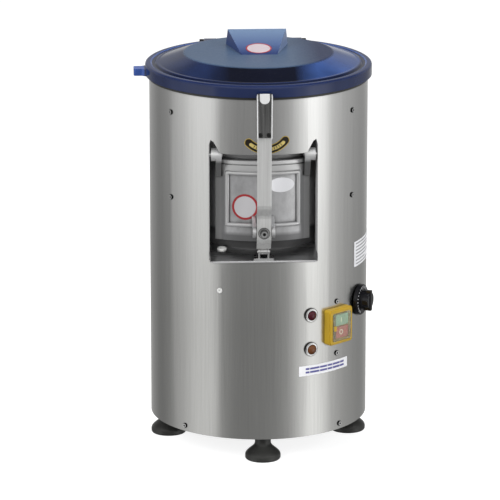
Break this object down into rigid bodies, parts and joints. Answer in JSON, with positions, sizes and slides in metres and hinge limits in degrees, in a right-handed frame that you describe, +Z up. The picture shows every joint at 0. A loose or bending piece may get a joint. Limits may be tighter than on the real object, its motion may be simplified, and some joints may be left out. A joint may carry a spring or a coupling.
{
  "type": "electric potato peeler",
  "caption": "Round steel floor-standing potato peeler with an abrasive plate in a drum, hinged blue lid, front door with lever latch, chute, start and stop switch, pilot lamps and timer.",
  "frame": {"origin": "on the drum's axis at the level of the feet's undersides", "axes": "+Z up along the drum's axis, -Y to the front with the door, +X to the right of someone who faces the door"},
  "size_m": [0.4144, 0.4385, 0.716],
  "materials": {
    "casing_steel": "vertical brushed",
    "steel": "satin",
    "bright_steel": "bright",
    "dark_steel": "dark",
    "grey_paint": "satin",
    "cast_aluminium": "cast",
    "cast_iron": "machined",
    "brass": "satin",
    "black_rubber": "matt",
    "black_plastic": "satin",
    "grey_plastic": "matt",
    "pale_plastic": "matt",
    "white_plastic": "satin",
    "blue_plastic": "translucent, glossy",
    "yellow_plastic": "satin",
    "green_plastic": "satin",
    "red_plastic": "satin",
    "clear_cover": "hazy",
    "red_glass": "clear",
    "amber_glass": "clear",
    "abrasive": "coarse grit"
  },
  "bodies": {
    "machine": {"casing": "casing_steel", "base_plate": "grey_paint", "feet": "black_rubber", "foot_screws": "steel", "casing_screws": "bright_steel", "top_ring": "steel", "rim_edging": "black_rubber", "drum": "steel", "drum_lining": "abrasive", "drum_floor": "cast_aluminium", "drum_stays": "steel", "port_frame": "cast_aluminium", "recess_liner": "steel", "chute": "steel", "chute_plug": "white_plastic", "latch_catch": "bright_steel", "latch_roller": "bright_steel", "door_hinge_pins": "bright_steel", "lid_hinge_lugs": "steel", "lid_hinge_pin": "bright_steel", "lid_hinge_caps": "black_plastic", "lid_switch": "black_plastic", "bearing_housing": "cast_iron", "main_bearings": "bright_steel", "shaft_seal": "black_rubber", "chassis_bolts": "steel", "motor_body": "grey_paint", "motor_cowl": "grey_paint", "motor_bracket": "grey_paint", "drive_belt": "black_rubber", "capacitor": "white_plastic", "drain_elbow": "grey_plastic", "drain_bush": "black_rubber", "water_inlet": "brass", "cable_gland": "black_plastic", "switch_frame": "yellow_plastic", "switch_cover": "clear_cover", "switch_body": "grey_plastic", "lamp_bezels": "bright_steel", "red_lens": "red_glass", "amber_lens": "amber_glass", "timer_body": "pale_plastic"},
    "lid": {"lid": "blue_plastic"},
    "door": {"door": "cast_aluminium", "door_seal": "black_rubber"},
    "lever": {"lever_bar": "steel", "lever_handle": "bright_steel", "lever_rivets": "dark_steel", "lever_barrel": "steel", "lever_screw": "bright_steel"},
    "spindle": {"main_shaft": "steel", "main_pulley": "cast_iron", "peeling_plate": "cast_aluminium", "plate_abrasive": "abrasive", "plate_nut": "bright_steel"},
    "rotor": {"motor_shaft": "steel", "motor_pulley": "cast_iron"},
    "knob": {"timer_knob": "black_plastic"},
    "start": {"start_button": "green_plastic"},
    "stop": {"stop_button": "red_plastic"}
  },
  "joints": [
    {"name": "lid_hinge", "type": "hinge", "parent": "machine", "child": "lid", "pos_m": [0, 0.207, 0.655], "axis": [-1, 0, 0], "range_deg": [0, 100]},
    {"name": "door_swing", "type": "hinge", "parent": "machine", "child": "door", "pos_m": [0, -0.15798, 0.544], "axis": [-1, 0, 0], "range_deg": [0, 65]},
    {"name": "lever_pivot", "type": "hinge", "parent": "door", "child": "lever", "pos_m": [0, -0.1849, 0.414], "axis": [1, 0, 0], "range_deg": [0, 39]},
    {"name": "plate_spin", "type": "hinge", "parent": "machine", "child": "spindle", "pos_m": [0, 0, 0.3], "axis": [0, 0, 1], "continuous": true},
    {"name": "motor_spin", "type": "hinge", "parent": "machine", "child": "rotor", "pos_m": [-0.1178, 0, 0.2], "axis": [0, 0, 1], "continuous": true},
    {"name": "timer_turn", "type": "hinge", "parent": "machine", "child": "knob", "pos_m": [0.17976, -0.08767, 0.263], "axis": [-0.8988, 0.4384, 0], "range_deg": [0, 300]},
    {"name": "start_press", "type": "slide", "parent": "machine", "child": "start", "axis": [-0.6756, 0.7373, 0], "range_m": [0, 0.003], "stiffness_N_per_m": 600, "springref_m": -0.002},
    {"name": "stop_press", "type": "slide", "parent": "machine", "child": "stop", "axis": [-0.6756, 0.7373, 0], "range_m": [0, 0.003], "stiffness_N_per_m": 600, "springref_m": -0.002}
  ],
  "couplings": [
    {"joint": "lever_pivot", "follows": "door_swing", "ratio": 0.6},
    {"joint": "motor_spin", "follows": "plate_spin", "ratio": 4.3548}
  ]
}
